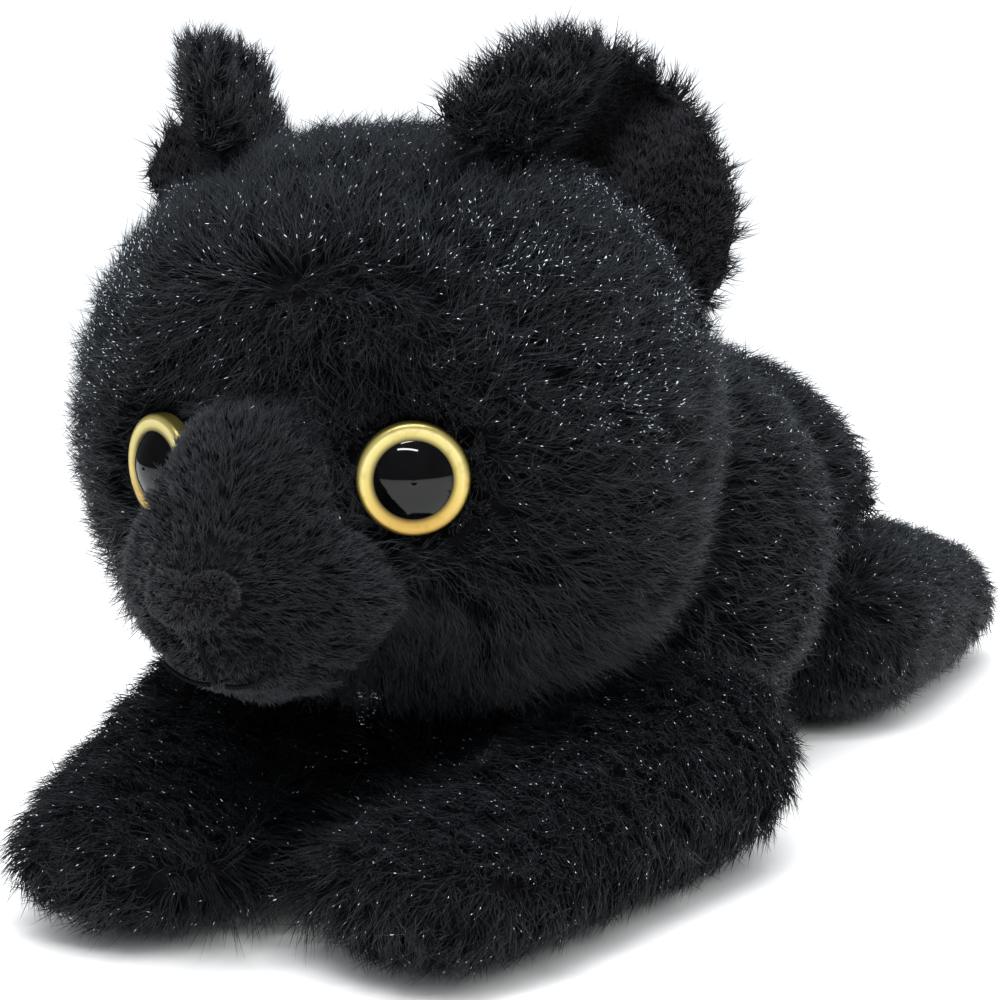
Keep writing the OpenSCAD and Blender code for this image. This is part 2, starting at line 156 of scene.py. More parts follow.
def link(name, mesh):
    """A new object in the scene."""
    made = bpy.data.objects.new(name, mesh)
    scene.collection.objects.link(made)
    return made


def settle(piece):
    """Applies the piece's modifiers."""
    shape = piece.evaluated_get(bpy.context.evaluated_depsgraph_get())
    mesh = bpy.data.meshes.new_from_object(shape)
    piece.modifiers.clear()
    piece.data = mesh


def vertex_rows(mesh, field):
    """One row of three numbers for each vertex."""
    flat = np.empty(len(mesh.vertices) * 3, np.float32)
    mesh.vertices.foreach_get(field, flat)
    return flat.reshape(-1, 3).astype(float)


def positions(mesh):
    return vertex_rows(mesh, "co")


def normals(mesh):
    return vertex_rows(mesh, "normal")


def set_positions(mesh, points):
    """Moves a mesh's vertices to these points."""
    mesh.vertices.foreach_set("co", points.astype(np.float32).ravel())
    mesh.update()


def tree_of(mesh):
    """A search tree of a mesh's faces."""
    return BVHTree.FromPolygons([v.co for v in mesh.vertices], [p.vertices for p in mesh.polygons])


trees = {}


def distances(points, nodes):
    """Distance from each point to each CAD node's surface."""
    table = np.empty((len(points), len(nodes)))
    for column, node in enumerate(nodes):
        if node not in trees:
            trees[node] = tree_of(frame["nodes"][node].data)
        find = trees[node].find_nearest
        table[:, column] = [find(point)[3] for point in points.tolist()]
    return table


def nearest(points, nodes):
    """Distance from each point to the nearest of these CAD nodes, as a column."""
    return distances(points, nodes).min(1)[:, None]


# ---- materials -----------------------------------------------------------------------------

def new_material(name, roughness, specular=0.5, sheen=0.0, sheen_tint=(1, 1, 1)):
    """A material and its shader node, with the values that are the same all over."""
    material = bpy.data.materials.new(name)
    material.use_nodes = True
    shader = material.node_tree.nodes["Principled BSDF"]
    shader.inputs["Roughness"].default_value = roughness
    shader.inputs["Specular IOR Level"].default_value = specular
    shader.inputs["Sheen Weight"].default_value = sheen
    shader.inputs["Sheen Roughness"].default_value = 0.45
    shader.inputs["Sheen Tint"].default_value = (*sheen_tint, 1)
    return material, shader


def add_node(material, kind, **values):
    """A shader node with these properties."""
    node = material.node_tree.nodes.new(kind)
    for key, value in values.items():
        setattr(node, key, value)
    return node


def join(material, source, target):
    """A link from one node's output to another's input."""
    material.node_tree.links.new(source, target)


def color_ramp(material, value, stops):
    """The colour of a value on a ramp with stops of (place, colour)."""
    node = add_node(material, "ShaderNodeValToRGB")
    elements = node.color_ramp.elements
    elements.remove(elements[1])
    for index, (place, color) in enumerate(stops):
        element = elements[0] if index == 0 else elements.new(place)
        element.position = place
        element.color = (*color, 1)
    join(material, value, node.inputs[0])
    return node.outputs[0]


def ranged_ramp(material, value, low, high, stops):
    """The colour of a value on a ramp that runs from low to high."""
    span = add_node(material, "ShaderNodeMapRange")
    span.inputs["From Min"].default_value = low
    span.inputs["From Max"].default_value = high
    join(material, value, span.inputs["Value"])
    return color_ramp(material, span.outputs["Result"], stops)


def multiply(material, first, second, share=1):
    """The first colour multiplied by the second, as far as this share."""
    node = add_node(material, "ShaderNodeMixRGB", blend_type="MULTIPLY")
    node.inputs[0].default_value = share
    join(material, first, node.inputs[1])
    join(material, second, node.inputs[2])
    return node.outputs[0]


def add_texture(material, kind, scale, **values):
    """A texture laid over the piece's own coordinates."""
    place = add_node(material, "ShaderNodeTexCoord")
    texture = add_node(material, kind, **values)
    texture.inputs["Scale"].default_value = scale
    join(material, place.outputs["Object"], texture.inputs["Vector"])
    return texture


def add_bump(material, shader, height, strength, distance):
    """Relief from a texture's output."""
    bump = add_node(material, "ShaderNodeBump")
    bump.inputs["Strength"].default_value = strength
    bump.inputs["Distance"].default_value = distance
    join(material, height, bump.inputs["Height"])
    join(material, bump.outputs["Normal"], shader.inputs["Normal"])


def pile_material(name, dark, light, glint, roughness, sheen):
    """Pile: each strand's own tone across the map, a darker root along it, and a few painted
    glints.
    """
    material, shader = new_material(name, roughness, 0.3, sheen, (0.75, 0.86, 1.0))
    strand_map = add_node(material, "ShaderNodeUVMap", uv_map="OFBake")
    parts = add_node(material, "ShaderNodeSeparateXYZ")
    join(material, strand_map.outputs["UV"], parts.inputs[0])
    across, along = parts.outputs["X"], parts.outputs["Y"]
    tone = color_ramp(material, across, [(0.0, dark), (GLINT_FROM, light)])
    length = color_ramp(material, along, [(0.0, (0.15,) * 3), (0.5, (0.5,) * 3), (1.0, WHITE)])
    # Painted glints: a short bright band along the strands whose tone is above GLINT_FROM.
    painted_glinting = color_ramp(material, across, [(GLINT_FROM, BLACK), (GLINT_FROM + 0.01, WHITE)])
    band = color_ramp(material, along, zip(GLINT_BAND, (BLACK, WHITE, WHITE, BLACK)))
    where = add_node(material, "ShaderNodeMath", operation="MULTIPLY")
    join(material, painted_glinting, where.inputs[0])
    join(material, band, where.inputs[1])
    mix = add_node(material, "ShaderNodeMixRGB")
    mix.inputs[2].default_value = (*glint, 1)
    join(material, where.outputs[0], mix.inputs[0])
    join(material, multiply(material, tone, length), mix.inputs[1])
    join(material, mix.outputs[0], shader.inputs["Base Color"])
    return material


def cloth_material(name, dark, light, scale=900):
    """Knitted backing or other cloth: fine uneven loops."""
    material, shader = new_material(name, 0.9, 0.1, 0.02)
    loops = add_texture(material, "ShaderNodeTexVoronoi", scale).outputs["Distance"]
    color = color_ramp(material, loops, [(0.0, light), (0.7, dark)])
    join(material, color, shader.inputs["Base Color"])
    add_bump(material, shader, loops, 0.4, 0.3 * MM)
    return material


def thread_material():
    """Twisted sewing thread."""
    material, shader = new_material("twisted_thread", 0.9, 0.1)
    wave = add_texture(material, "ShaderNodeTexWave", 700, bands_direction="DIAGONAL")
    wave.inputs["Distortion"].default_value = 1.5
    twist = wave.outputs["Fac"]
    color = color_ramp(material, twist, [(0.0, (0.001, 0.001, 0.0012)),
                                         (1.0, (0.005, 0.005, 0.006))])
    join(material, color, shader.inputs["Base Color"])
    add_bump(material, shader, twist, 0.5, 0.2 * MM)
    return material


def moulded_material():
    """Milky moulded plastic of the eye washers."""
    material, shader = new_material("moulded_plastic", 0.4)
    flow = add_texture(material, "ShaderNodeTexNoise", 260).outputs["Fac"]
    color = color_ramp(material, flow, [(0.3, (0.72, 0.72, 0.7)), (0.7, (0.84, 0.84, 0.82))])
    join(material, color, shader.inputs["Base Color"])
    add_bump(material, shader, flow, 0.1, 0.1 * MM)
    return material


def offset_and_radius(material, centre, axis):
    """The offset of a place from an eye's centre, and its distance from the eye's axis."""
    place = add_node(material, "ShaderNodeTexCoord")
    off = add_node(material, "ShaderNodeVectorMath", operation="SUBTRACT")
    off.inputs[1].default_value = centre
    along = add_node(material, "ShaderNodeVectorMath", operation="DOT_PRODUCT")
    along.inputs[1].default_value = axis
    ahead = add_node(material, "ShaderNodeVectorMath", operation="SCALE")
    ahead.inputs[0].default_value = axis
    flat = add_node(material, "ShaderNodeVectorMath", operation="SUBTRACT")
    radius = add_node(material, "ShaderNodeVectorMath", operation="LENGTH")
    join(material, place.outputs["Object"], off.inputs[0])
    join(material, off.outputs["Vector"], along.inputs[0])
    join(material, along.outputs["Value"], ahead.inputs["Scale"])
    join(material, off.outputs["Vector"], flat.inputs[0])
    join(material, ahead.outputs["Vector"], flat.inputs[1])
    join(material, flat.outputs["Vector"], radius.inputs[0])
    return off.outputs["Vector"], radius.outputs["Value"]


def gold_material(side, centre, axis):
    """Pale gold rim paint, thin in places, with painted shade: olive at its edges, darker low
    down.
    """
    material, shader = new_material(side + "_painted_gold", 0.3)
    off, radius = offset_and_radius(material, centre, axis)
    # Painted shade: the gold darkens to olive and near black at the rim's inner and outer edges.
    paint = ranged_ramp(material, radius, 6.9 * MM, 10 * MM,
                        [(0.0, (0.03, 0.024, 0.008)), (0.12, (0.24, 0.19, 0.05)),
                         (0.32, (0.6, 0.51, 0.18)), (0.62, (0.7, 0.61, 0.26)),
                         (0.85, (0.38, 0.31, 0.09)), (1.0, (0.06, 0.05, 0.012))])
    # Painted shade: darker and more orange towards the bottom of the rim.
    parts = add_node(material, "ShaderNodeSeparateXYZ")
    join(material, off, parts.inputs[0])
    painted_shade_low = ranged_ramp(material, parts.outputs["Z"], -9 * MM, 9 * MM,
                         [(0.05, (0.75, 0.55, 0.3)), (0.4, (0.95, 0.87, 0.7)), (0.7, WHITE)])
    noise = add_texture(material, "ShaderNodeTexNoise", 420)
    noise.inputs["Detail"].default_value = 6
    mottle = noise.outputs["Fac"]
    worn = color_ramp(material, mottle, [(0.3, (0.78, 0.72, 0.6)), (0.45, WHITE)])
    color = multiply(material, multiply(material, paint, painted_shade_low), worn, 0.7)
    join(material, color, shader.inputs["Base Color"])
    shader.inputs["Metallic"].default_value = 0.55
    add_bump(material, shader, mottle, 0.12, 0.1 * MM)
    return material


def dome_material():
    """Polished black plastic with faint smears."""
    material, shader = new_material("polished_black", 0.04, 0.28)
    smear = add_texture(material, "ShaderNodeTexNoise", 180).outputs["Fac"]
    color = color_ramp(material, smear, [(0.35, (0.001, 0.001, 0.001)),
                                         (0.75, (0.003, 0.003, 0.0035))])
    join(material, color, shader.inputs["Base Color"])
    shader.inputs["Coat Weight"].default_value = 0.08
    shader.inputs["Coat Roughness"].default_value = 0.02
    return material


def paper_material():
    """Pale seamless studio paper."""
    material, shader = new_material("studio_paper", 0.9, 0.2)
    shader.inputs["Base Color"].default_value = (0.86, 0.86, 0.86, 1)
    return material


# Each pile's third colour is its painted glint.
LONG_PILE = pile_material("long_pile", (0.0008, 0.001, 0.0015), (0.0125, 0.0165, 0.0235),
                          (0.72, 0.82, 0.92), 0.42, 0.05)
SHORT_PILE = pile_material("short_pile", (0.0008, 0.0008, 0.0012), (0.0105, 0.01, 0.0155),
                           (0.05, 0.05, 0.06), 0.6, 0.08)
NOSE_PILE = pile_material("nose_pile", (0.006, 0.0052, 0.006), (0.022, 0.019, 0.0215),
                          (0.05, 0.05, 0.05), 0.6, 0.12)
LINING_PILE = pile_material("lining_pile", (0.0004, 0.0004, 0.0005), (0.013, 0.011, 0.018),
                            (0.05, 0.05, 0.06), 0.6, 0.05)
BACKING = cloth_material("knitted_backing", (0.002, 0.002, 0.0025), (0.006, 0.006, 0.007))


# ---- padded backings -----------------------------------------------------------------------

def largest_island(mesh):
    """Removes everything but the largest connected part of a mesh."""
    shape = bmesh.new()
    shape.from_mesh(mesh)
    waiting, islands = set(shape.verts), []
    while waiting:
        reached = [waiting.pop()]
        for vertex in reached:
            for edge in vertex.link_edges:
                other = edge.other_vert(vertex)
                if other in waiting:
                    waiting.remove(other)
                    reached.append(other)
        islands.append(reached)
    islands.sort(key=len)
    for island in islands[:-1]:
        bmesh.ops.delete(shape, geom=island, context="VERTS")
    shape.to_mesh(mesh)
    shape.free()
    mesh.update()


def outer_shape(name, nodes, voxel, rounds):
    """One closed mesh around these CAD nodes, evened out."""
    joined = bmesh.new()
    for node in nodes:
        joined.from_mesh(frame["nodes"][node].data)
    mesh = bpy.data.meshes.new(name)
    joined.to_mesh(mesh)
    joined.free()
    shape = link(name, mesh)
    remesh = shape.modifiers.new("voxels", "REMESH")
    remesh.mode = "VOXEL"
    remesh.voxel_size = voxel
    even = shape.modifiers.new("even", "SMOOTH")
    even.factor = 0.5
    even.iterations = rounds
    settle(shape)
    largest_island(shape.data)
    return shape


def inflate(shape, held, pressure):
    """Pumps a backing up against its held seams, as stuffing does, with a short cloth run."""
    group = shape.vertex_groups.new(name="seams")
    for index, weight in enumerate(held.tolist()):
        group.add([index], weight, "REPLACE")
    cloth = shape.modifiers.new("stuffing", "CLOTH")
    settings = cloth.settings
    settings.quality = 5
    settings.mass = 0.15
    settings.tension_stiffness = 20
    settings.compression_stiffness = 20
    settings.bending_stiffness = 0.8
    settings.use_pressure = True
    settings.uniform_pressure_force = pressure
    settings.effector_weights.gravity = 0
    settings.vertex_group_mass = "seams"
    cloth.point_cache.frame_start = 1
    cloth.point_cache.frame_end = CLOTH_FRAMES
    start = positions(shape.data)
    for number in range(1, CLOTH_FRAMES + 1):
        scene.frame_set(number)
    shaped = shape.evaluated_get(bpy.context.evaluated_depsgraph_get())
    move = positions(shaped.data) - start
    shape.modifiers.remove(cloth)
    shape.vertex_groups.clear()
    scene.frame_set(1)
    length = np.maximum(np.linalg.norm(move, axis=1, keepdims=True), 1e-9)
    set_positions(shape.data, start + move * np.minimum(1, MOST_SWELL / length))


def refine(shape):
    """Makes a backing finer and smooth, and gives it its cloth."""
    finer = shape.modifiers.new("finer", "SUBSURF")
    finer.levels = 1
    settle(shape)
    shape.data.shade_smooth()
    shape.data.materials.append(BACKING)


def backing(name, body, covers, inner, inset, core=(), voxel=4 * MM, pressure=4,
            crease=1.2 * MM, rounds=5, nearer=None, reshape=None):
    """Padded backing inside these CAD covers. It stands for the stuffing nodes in inner.

    The nodes in core only help to give it its shape. nearer(points) is where the backing
    stays close to the covers, from 0 to 1, and reshape(points) moves its finished shape.
    """
    shape = outer_shape(name, covers + inner + list(core), voxel, rounds)
    outside = positions(shape.data)
    apart = np.sort(distances(outside, covers), axis=1)
    seam = 1 - ease(apart[:, min(1, len(covers) - 1)], 0.3 * voxel, 1.3 * voxel)
    seam = seam[:, None] * (len(covers) > 1)
    swell = SWELL if pressure else 0
    inward = inset + swell * (1 - seam) + crease * seam
    held = seam
    if nearer:
        close = nearer(outside)
        inward *= 1 - 0.75 * close
        held = np.maximum(seam, close)
    set_positions(shape.data, outside - normals(shape.data) * inward)
    if pressure:
        inflate(shape, np.clip(held[:, 0], 0, 1), pressure)
    refine(shape)
    points = positions(shape.data)
    if reshape:
        points = reshape(points)
    points[:, 2] = np.maximum(points[:, 2], BACKING_LOW)
    set_positions(shape.data, points)
    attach(shape, body)
    if inner:
        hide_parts(*inner)
    return shape


# ---- pile ----------------------------------------------------------------------------------

def scatter(shape, spacing):
    """Places for clumps, spread evenly over a backing, and the normals there."""
    mesh = shape.data
    corners = np.empty(len(mesh.loops), np.int32)
    mesh.loops.foreach_get("vertex_index", corners)
    quads = corners.reshape(-1, 4)
    areas = np.empty(len(mesh.polygons), np.float32)
    mesh.polygons.foreach_get("area", areas)
    edge = np.cumsum(areas.astype(float))
    count = int(edge[-1] / spacing ** 2)
    face = np.searchsorted(edge, (np.arange(count) + rng.random(count)) / count * edge[-1])
    face = np.minimum(face, len(quads) - 1)
    s, t = rng.random((2, count, 1))
    weights = [(1 - s) * (1 - t), s * (1 - t), s * t, (1 - s) * t]

    def blend(values):
        return sum(w * values[quads[face, k]] for k, w in enumerate(weights))

    return blend(positions(mesh)), unit(blend(normals(mesh)))


def strand_mesh(name, root, bend, tip, width, tone):
    """Closed strands of three sides: a ring at the root, a ring at the bend, and the tip."""
    count = len(root)
    turn = rng.uniform(0, 2 * math.pi, (count, 1))
    lower, upper = unit(bend - root), unit(tip - bend)
    side = unit(np.cross(lower, unit(rng.normal(size=(count, 3)))))
    other = np.cross(unit(lower + upper), side)
    points = np.empty((count, CORNERS, 3))
    tex = np.empty((count, CORNERS, 2))
    for k in range(3):
        angle = turn + k * 2 * math.pi / 3
        around = (np.cos(angle) * side + np.sin(angle) * other) * width[:, None] / 2
        points[:, k] = root + around
        points[:, 3 + k] = bend + around * BEND_WIDTH
        tex[:, k, 0] = tex[:, 3 + k, 0] = tone + TONE_STEP * k
    points[:, 6] = tip
    tex[:, 6, 0] = tone + TONE_STEP
    tex[:, 0:3, 1] = ROOT_AT
    tex[:, 3:6, 1] = BEND_AT
    tex[:, 6, 1] = TIP_AT
    points[..., 2] = np.maximum(points[..., 2], STRAND_LOW)
    triangles = [(0, 2, 1)]
    for k in range(3):
        n = (k + 1) % 3
        triangles += [(k, n, 3 + n), (k, 3 + n, 3 + k), (3 + k, 3 + n, 6)]
    faces = np.array(triangles)[None] + CORNERS * np.arange(count)[:, None, None]
    faces = faces.reshape(-1).astype(np.int32)
    mesh = bpy.data.meshes.new(name)
    mesh.vertices.add(count * CORNERS)
    mesh.vertices.foreach_set("co", points.astype(np.float32).ravel())
    mesh.loops.add(len(faces))
    mesh.loops.foreach_set("vertex_index", faces)
    mesh.polygons.add(len(faces) // 3)
    mesh.polygons.foreach_set("loop_start", np.arange(0, len(faces), 3, dtype=np.int32))
    layer = mesh.uv_layers.new(name="OFBake")
    layer.data.foreach_set("uv", tex.reshape(-1, 2)[faces].astype(np.float32).ravel())
    mesh.update(calc_edges=True)
    mesh.polygons.foreach_set("use_smooth", np.ones(len(faces) // 3, bool))
    return mesh


def eye_axes():
    """Place and outward direction of each eye, from its rim and washer."""
    axes = {}
    for side in SIDES:
        front, behind = middle(side + "_eye_rim"), middle(side + "_eye_washer")
        axes[side] = (front, unit(front - behind))
    return axes


EYES = eye_axes()


def from_axis(points, centre, axis):
    """How far points lie ahead along an eye's axis, and how far away from it."""
    off = points - centre
    ahead = off @ axis
    return ahead, np.linalg.norm(off - ahead[:, None] * axis, axis=1)


def over_eye(points):
    """Which of these points lie in front of an eye."""
    found = np.zeros(len(points), bool)
    for centre, axis in EYES.values():
        ahead, radial = from_axis(points, centre, axis)
        found |= (ahead > -2 * MM) & (ahead < 20 * MM) & (radial < EYE_CLEAR)
    return found


class Pile:
    """What a pile looks like. It stands in clumps of strands, spacing apart.

    lean is in degrees from upright. tuft is how far a clump stays spread at its tips, stray
    how much its strands part, wander how much the lie of the pile swirls, and sparks the
    share of strands that carry a painted glint.
    """

    def __init__(self, length, width, spacing, strands, lean, material, slot, tuft=0.45,
                 stray=0.5, wander=0.25, sparks=0.02):
        self.length = length
        self.width = width
        self.spacing = spacing
        self.strands = strands
        self.lean = lean
        self.material = material
        self.slot = slot
        self.tuft = tuft
        self.stray = stray
        self.wander = wander
        self.sparks = sparks


def plain_share(points):
    """A pile as it is, with nothing changed by trimming."""
    return np.ones((4, len(points), 1))


def strand_paths(pile, points, up, flow, length, lean):
    """Root, bend and tip of each strand, from the place and lie of its clump."""
    total = len(points)
    across = np.cross(up, flow)
    angle = rng.uniform(0, 2 * math.pi, (total, 1))
    radius = np.sqrt(rng.random((total, 1))) * pile.spacing * 0.75
    offset = radius * (np.cos(angle) * flow + np.sin(angle) * across)
    twist = pile.stray * rng.normal(size=(total, 1))
    along = unit(flow + twist * across)
    reach = length * rng.uniform(0.78, 1.12, (total, 1))
    low = np.radians(np.clip(lean - 16 + rng.normal(size=(total, 1)) * 5, 0, LOWER_LIMIT))
    high = np.radians(np.clip(lean + 14 + rng.normal(size=(total, 1)) * 8, 0, UPPER_LIMIT))
    curl = pile.stray * rng.normal(size=(total, 1)) * 0.35 * reach
    root = points + offset - ROOT_DEPTH * up
    step = reach / 2 * (np.cos(low) * up + np.sin(low) * along)
    bend = points + offset * 0.8 + step
    step += reach / 2 * (np.cos(high) * up + np.sin(high) * along)
    tip = points + offset * pile.tuft + step + curl * across
    return root, bend, tip


def strand_tones(pile, up, lump, fine, share):
    """Strand tone: painted light on top, painted shade below, uneven locks, a few painted glints.
    """
    total = len(up)
    # Painted light on pile that faces up and painted shade on pile that faces down, besides uneven
    # locks.
    tone = 0.34 + 0.16 * lump[:, 2] + 0.12 * fine[:, 2] + 0.28 * up[:, 2]
    # Painted shade from the trims, and random tone.
    tone = tone * share[PAINTED_SHADE, :, 0] + 0.22 * rng.normal(size=total)
    tone = np.clip(tone, 0.0, 0.9)
    # A few strands carry a painted glint.
    painted_glint = rng.random(total) < pile.sparks * share[SPARKS, :, 0]
    tone[painted_glint] = rng.uniform(GLINT_FROM + 0.012, 0.98, painted_glint.sum())
    return tone


def grow(shape, body, covers, pile, combed, inset, trimmed=None):
    """Grows pile on a backing, one piece for each CAD cover node.

    combed(points, normals) gives the way the pile lies, and trimmed(points, normals) the
    rows LENGTH, LEAN, SPARKS and PAINTED_SHADE.
    """
    points, up = scatter(shape, pile.spacing)
    share = trimmed(points, up) if trimmed else plain_share(points)
    kept = share[LENGTH, :, 0] > LEAST_SHARE
    points, up, share = points[kept], up[kept], share[:, kept]
    flow = unit(combed(points, up)) + pile.wander * waves(points, *WIDE_SWIRLS)
    flow += pile.wander * 1.3 * waves(points, *SMALL_SWIRLS)
    flow = unit(flow - dot(flow, up) * up)
    owner = distances(points + up * inset, covers).argmin(1)
    lump = waves(points, *LUMPS)
    fine = waves(points, *LOCKS)
    size = len(points)
    length = 1 + 0.12 * lump[:, :1] + 0.12 * fine[:, :1] + 0.08 * rng.normal(size=(size, 1))
    length = pile.length * share[LENGTH] * length
    lean = pile.lean * share[LEAN] + 9 * lump[:, 1:2] + 7 * fine[:, 1:2]
    lean = np.clip(lean + 5 * rng.normal(size=(size, 1)), 0, LOWER_LIMIT)

    every = np.repeat(np.arange(size), pile.strands)
    root, bend, tip = strand_paths(pile, points[every], up[every], flow[every], length[every],
                                   lean[every])
    tone = strand_tones(pile, up[every], lump[every], fine[every], share[:, every])
    width = pile.width * rng.uniform(0.8, 1.15, len(every))
    clear = np.ones(len(every), bool)
    if body == "head":
        clear = ~(over_eye(bend) | over_eye(tip))
    for number, cover in enumerate(covers):
        mine = (owner[every] == number) & clear
        mesh = strand_mesh(cover + "_pile", root[mine], bend[mine], tip[mine], width[mine],
                           tone[mine])
        piece = link(cover + "_pile", mesh)
        mesh.materials.append(pile.material)
        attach(piece, body)
        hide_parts(cover)


# ---- directions of the pile ----------------------------------------------------------------

head_centre = middle(*FACE)
eye_centres = {side: middle(side + "_eye_dome") for side in SIDES}
face_ahead = (eye_centres["left"] + eye_centres["right"]) / 2 - head_centre
face_ahead[2] = 0
face_ahead = unit(face_ahead)
face_left = np.cross(UP, face_ahead)
nose_tip = middle("nose_patch")


def in_face(points):
    """Points in the head's own directions: to its left, behind its centre, above its centre."""
    away = points - head_centre
    return np.stack([away @ face_left, -(away @ face_ahead), away @ UP], axis=1)


def from_face(vectors):
    """The way back from the head's own directions."""
    return vectors[:, :1] * face_left - vectors[:, 1:2] * face_ahead + vectors[:, 2:] * UP


def head_comb(points, up):
    """Away from the nose and the eyes, down at the back; forwards and down over the bridge."""
    local = in_face(points)
    away = unit(points - nose_tip)
    back = ease(local[:, 1:2], 5 * MM, 45 * MM)
    flow = away - 0.9 * back * UP
    brow = ease(-local[:, 1:2], 18 * MM, 42 * MM)
    brow = brow * ease(local[:, 2:], -14 * MM, 2 * MM)
    brow = brow * (1 - ease(local[:, 2:], 8 * MM, 40 * MM))
    brow = brow * (1 - ease(np.abs(local[:, :1]), 20 * MM, 32 * MM))
    side = np.sign(local[:, :1]) * 0.25
    ahead, fall = np.full_like(side, -0.5), np.full_like(side, -1)
    down = from_face(np.concatenate([side, ahead, fall], axis=1))
    flow = flow * (1 - brow) + 1.4 * down * brow
    for centre in eye_centres.values():
        off = points - centre
        near = 1 - ease(np.linalg.norm(off, axis=1, keepdims=True), 9 * MM, 16 * MM)
        flow = flow + 0.6 * near * unit(off)
    return flow


def head_trim(points, up, muzzle):
    """No pile under the eyes or the muzzle.

    It is shorter and more upright close to the eyes, with painted shade there, longer over
    the brow, and longer and more upright under the jaw, with painted shade on all pile that
    faces down. The painted glints lie in patches, more of them high up and at the sides.
    """
    share = plain_share(points)
    for centre, axis in EYES.values():
        ahead, radial = from_axis(points, centre, axis)
        near = np.where(ahead > -20 * MM, 1 - ease(radial, 10 * MM, 17 * MM), 0)
        share[LENGTH, :, 0] *= 1 - 0.3 * near
        share[LEAN, :, 0] *= 1 - 0.75 * near
        # Painted shade on the pile close to the eyes.
        share[PAINTED_SHADE, :, 0] *= 1 - 0.4 * near
        share[LENGTH, (near > 0) & (radial < 8.5 * MM), 0] = 0
    for index, (point, direction) in enumerate(zip(points.tolist(), up.tolist())):
        place, outward, _, _ = muzzle.ray_cast(point, direction)
        if place is not None and outward.dot(Vector(direction)) > 0:
            share[LENGTH, index, 0] = 0
    local = in_face(points)
    sideways = np.abs(local[:, :1])
    brow = ease(-local[:, 1:2], 30 * MM, 40 * MM) * (1 - ease(sideways, 14 * MM, 24 * MM))
    share[LENGTH] *= 1 + 0.25 * brow * ease(local[:, 2:], 2 * MM, 12 * MM)
    under = ease(-up[:, 2:], 0.3, 0.8)
    share[LENGTH] *= 1 + 0.4 * under
    share[LEAN] *= 1 - 0.4 * under
    # Painted shade on the pile that faces down.
    share[PAINTED_SHADE] *= 1 - 0.75 * ease(-up[:, 2:], -0.15, 0.6)
    # Painted glints, more at the sides and high up, in patches.
    share[SPARKS] = 0.2 + 1.8 * ease(sideways, 20 * MM, 42 * MM)
    share[SPARKS] *= ease(local[:, 2:], -25 * MM, 30 * MM)
    share[SPARKS] *= 0.25 + 1.5 * ease(waves(points, *GLINT_PATCHES)[:, :1], -0.6, 0.8)
    return share


def body_comb(points, up):
    """Backwards and down, and straight down over the chest."""
    flow = np.zeros_like(points)
    flow[:, 1] = 1
    flow[:, 2] = -0.55
    front = ease(-points[:, 1], 55 * MM, 80 * MM)
    flow[:, 1] -= 1.2 * front
    flow[:, 2] -= 0.8 * front
    return flow


def limb_comb(target):
    """Towards a point at the end of a limb, and a little down."""
    def comb(points, up):
        flow = unit(target - points)
        flow[:, 2] -= 0.45
        return flow
    return comb


def muzzle_comb(points, up):
    """Outwards from the nose, up the bridge, and more to the sides over the pads."""
    away = in_face(points) - in_face(nose_tip[None])
    low = ease(-away[:, 2:], 2 * MM, 12 * MM)
    away[:, :1] *= 1 + 2.5 * low
    return from_face(unit(away)) - 0.25 * UP


def ear_comb(base):
    """Away from the base of the ear, and a little up."""
    def comb(points, up):
        return unit(points - base) + 0.3 * UP
    return comb


# ---- soft parts ----------------------------------------------------------------------------

head_pile = Pile(8.8 * MM, 0.25 * MM, 1.78 * MM, 7, 52, LONG_PILE, "long_pile", tuft=0.75,
                 sparks=0.22, wander=0.34)
body_pile = Pile(9.0 * MM, 0.36 * MM, 2.4 * MM, 5, 54, LONG_PILE, "long_pile", tuft=0.75,
                 sparks=0.05, wander=0.34)
leg_pile = Pile(8.2 * MM, 0.27 * MM, 1.8 * MM, 6, 54, LONG_PILE, "long_pile", tuft=0.75,
                sparks=0.05, wander=0.34)
ear_pile = Pile(6.6 * MM, 0.27 * MM, 1.8 * MM, 8, 50, LONG_PILE, "long_pile", sparks=0.03)
tail_pile = Pile(5.8 * MM, 0.3 * MM, 1.6 * MM, 8, 55, LONG_PILE, "long_pile", tuft=0.75,
                 sparks=0.01)
short_pile = Pile(3.5 * MM, 0.23 * MM, 1.1 * MM, 7, 50, SHORT_PILE, "short_pile", sparks=0.004,
                  tuft=0.6, stray=0.3)
nose_pile = Pile(1.4 * MM, 0.22 * MM, 0.8 * MM, 8, 62, NOSE_PILE, "nose_pile", sparks=0.0,
                 tuft=0.8)
lining_pile = Pile(2.9 * MM, 0.25 * MM, 1.1 * MM, 7, 52, LINING_PILE, "ear_lining_pile",
                   sparks=0.004, tuft=0.7)


def lift_chin(points):
    """Rounds the back of the chin up towards the throat."""
    local = in_face(points)
    behind = ease(local[:, 1:2], -59 * MM, -47 * MM)
    behind = behind * (1 - ease(local[:, 1:2], -44 * MM, -28 * MM))
    return points + UP * 7 * MM * behind * (1 - ease(local[:, 2:], -38 * MM, -20 * MM))


def shape_muzzle(points):
    """Draws the bridge of the nose in on the cat's left, as in the photograph."""
    local = in_face(points)
    centre = in_face(middle(*MUZZLE)[None])[0]
    high = ease(local[:, 2:] - centre[2], -12 * MM, 8 * MM)
    off = np.maximum(local[:, :1] - centre[0], 0)
    return lift_chin(points - face_left * off * 0.2 * high)


def by_stitches(points):
    """1 close to the nose patch and the mouth stitch, which lie on the backing."""
    return 1 - ease(nearest(points, STITCHED), 2 * MM, 9 * MM)


